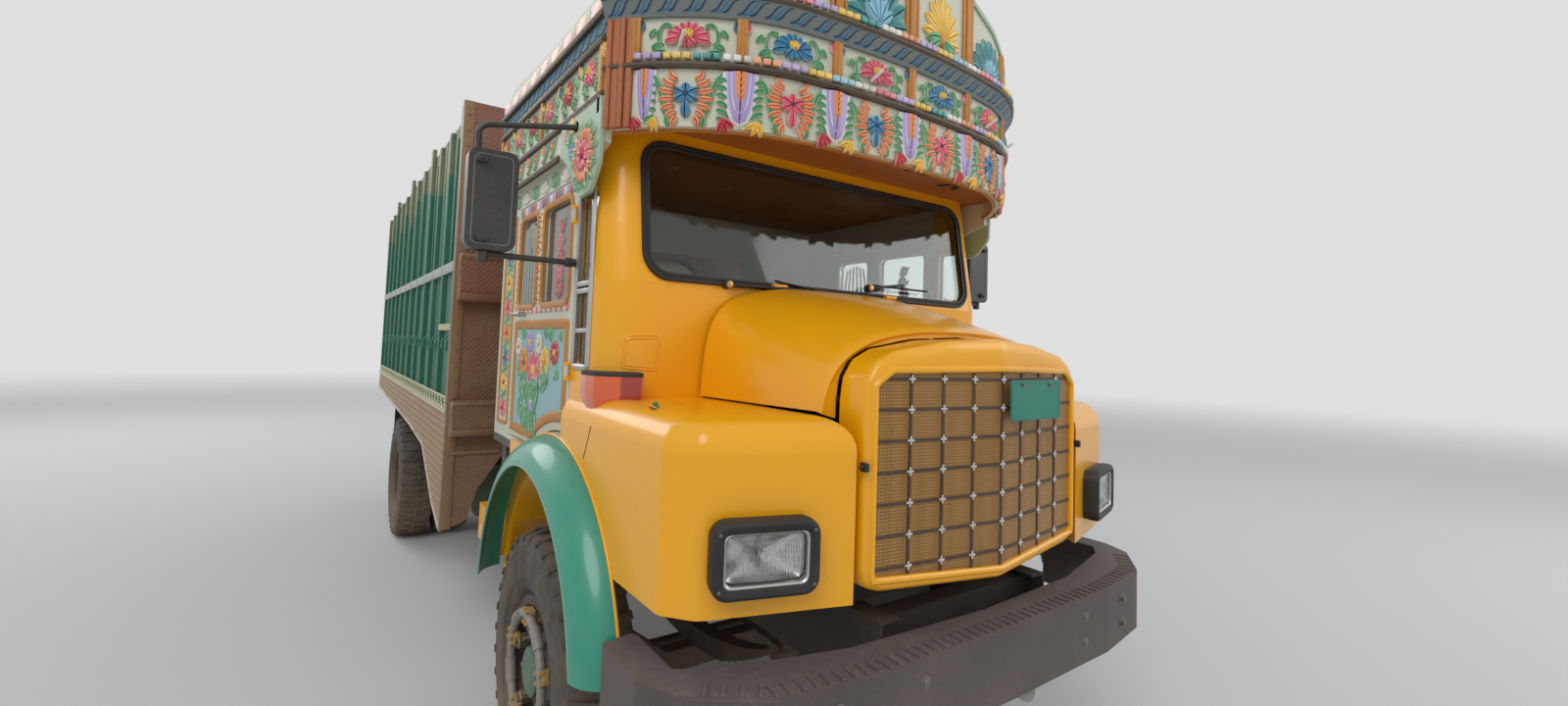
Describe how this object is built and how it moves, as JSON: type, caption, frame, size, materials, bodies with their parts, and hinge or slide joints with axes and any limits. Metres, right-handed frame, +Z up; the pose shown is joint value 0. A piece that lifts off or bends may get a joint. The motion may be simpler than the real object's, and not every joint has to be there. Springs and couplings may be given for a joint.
{
  "type": "decorated truck",
  "caption": "Bonneted two-axle goods truck with a carved painted crown over the cab and a high boarded load body; it steers and its doors, bonnet and tailgate open.",
  "frame": {"origin": "on the ground under the middle of the whole truck", "axes": "+Z up, +Y towards the tail, the truck's right side at -X"},
  "size_m": [2.92, 7.44, 3.43],
  "materials": {
    "body_yellow": "gloss",
    "flare_green": "gloss",
    "chassis_black": "satin",
    "axle_iron": "rough",
    "engine_iron": "rough",
    "radiator_black": "matt",
    "tank_paint": "satin",
    "exhaust_steel": "rough",
    "bumper_black": "worn",
    "hook_white": "satin",
    "grille_brown": "satin",
    "lamp_black": "gloss",
    "indicator_amber": "gloss",
    "glass": "gloss",
    "cab_painted_wood": "painted",
    "door_painted_wood": "painted",
    "crown_painted_wood": "painted",
    "soffit_orange": "painted",
    "floor_grey": "worn",
    "seat_vinyl": "satin",
    "dash_plastic": "matt",
    "mirror_black": "satin",
    "floor_wood": "worn",
    "chequer_brown": "satin",
    "load_green": "painted",
    "skirt_tan": "satin",
    "tyre": "matt",
    "wheel_paint": "worn"
  },
  "bodies": {
    "chassis": {"chassis_frame": "chassis_black", "front_axle": "axle_iron", "rear_axle": "axle_iron", "leaf_springs": "axle_iron", "engine_gearbox": "engine_iron", "propeller_shaft": "axle_iron", "radiator": "radiator_black", "side_tanks": "tank_paint", "exhaust": "exhaust_steel", "bumper": "bumper_black", "tow_hooks": "hook_white", "fenders": "body_yellow", "arch_flares": "flare_green", "nose": "body_yellow", "grille": "grille_brown", "headlamps": "lamp_black", "indicators": "indicator_amber", "cab_front": "body_yellow", "cab_glass": "glass", "cab_sides": "cab_painted_wood", "cab_back": "cab_painted_wood", "cab_floor": "floor_grey", "crown_front": "crown_painted_wood", "crown_sides": "crown_painted_wood", "crown_parapet": "crown_painted_wood", "cab_roof": "soffit_orange", "seats": "seat_vinyl", "dashboard": "dash_plastic", "mirrors": "mirror_black", "cab_steps": "body_yellow", "load_floor": "floor_wood", "load_bearers": "floor_wood", "load_sills": "floor_wood", "load_front_wall": "chequer_brown", "load_sides": "load_green", "load_skirts": "skirt_tan", "rear_header": "load_green"},
    "knuckle_right": {"knuckle_right": "axle_iron"},
    "knuckle_left": {"knuckle_left": "axle_iron"},
    "tie_rod": {"tie_rod": "axle_iron"},
    "wheel_front_right": {"front_tyre_right": "tyre", "front_wheel_right": "wheel_paint"},
    "wheel_front_left": {"front_tyre_left": "tyre", "front_wheel_left": "wheel_paint"},
    "wheels_rear_right": {"rear_tyres_right": "tyre", "rear_wheels_right": "wheel_paint"},
    "wheels_rear_left": {"rear_tyres_left": "tyre", "rear_wheels_left": "wheel_paint"},
    "bonnet": {"bonnet": "body_yellow"},
    "door_right": {"door_right": "door_painted_wood", "door_glass_right": "glass"},
    "door_left": {"door_left": "door_painted_wood", "door_glass_left": "glass"},
    "steering_wheel": {"steering_wheel": "dash_plastic"},
    "tailgate": {"tailgate": "load_green"}
  },
  "joints": [
    {"name": "steer_right", "type": "hinge", "parent": "chassis", "child": "knuckle_right", "pos_m": [-0.79, -2.36, 0.525], "axis": [0, 0, 1], "range_deg": [-35, 35]},
    {"name": "steer_left", "type": "hinge", "parent": "chassis", "child": "knuckle_left", "pos_m": [0.79, -2.36, 0.525], "axis": [0, 0, 1], "range_deg": [-35, 35]},
    {"name": "tie_rod_pivot", "type": "hinge", "parent": "knuckle_right", "child": "tie_rod", "pos_m": [-0.79, -2.16, 0.44], "axis": [0, 0, 1], "range_deg": [-35, 35]},
    {"name": "steering_wheel_turn", "type": "hinge", "parent": "chassis", "child": "steering_wheel", "pos_m": [-0.64, -2.24, 2.01], "axis": [0, 0.7071, 0.7071], "range_deg": [-640, 640]},
    {"name": "front_right_spin", "type": "hinge", "parent": "knuckle_right", "child": "wheel_front_right", "pos_m": [-1.008, -2.36, 0.525], "axis": [1, 0, 0], "continuous": true},
    {"name": "front_left_spin", "type": "hinge", "parent": "knuckle_left", "child": "wheel_front_left", "pos_m": [1.008, -2.36, 0.525], "axis": [1, 0, 0], "continuous": true},
    {"name": "rear_right_spin", "type": "hinge", "parent": "chassis", "child": "wheels_rear_right", "pos_m": [-0.912, 1.865, 0.525], "axis": [1, 0, 0], "continuous": true},
    {"name": "rear_left_spin", "type": "hinge", "parent": "chassis", "child": "wheels_rear_left", "pos_m": [0.912, 1.865, 0.525], "axis": [1, 0, 0], "continuous": true},
    {"name": "door_right_hinge", "type": "hinge", "parent": "chassis", "child": "door_right", "pos_m": [-1.067, -2.458, 1.985], "axis": [0, 0, 1], "range_deg": [0, 70]},
    {"name": "door_left_hinge", "type": "hinge", "parent": "chassis", "child": "door_left", "pos_m": [1.067, -2.458, 1.985], "axis": [0, 0, -1], "range_deg": [0, 70]},
    {"name": "bonnet_hinge", "type": "hinge", "parent": "chassis", "child": "bonnet", "pos_m": [0, -2.808, 2.048], "axis": [-1, 0, 0], "range_deg": [0, 45]},
    {"name": "tailgate_hinge", "type": "hinge", "parent": "chassis", "child": "tailgate", "pos_m": [0, 3.708, 1.358], "axis": [-1, 0, 0], "range_deg": [0, 90]}
  ],
  "couplings": [
    {"joint": "steer_left", "follows": "steer_right", "ratio": 1},
    {"joint": "tie_rod_pivot", "follows": "steer_right", "ratio": -1},
    {"joint": "steering_wheel_turn", "follows": "steer_right", "ratio": 18}
  ]
}
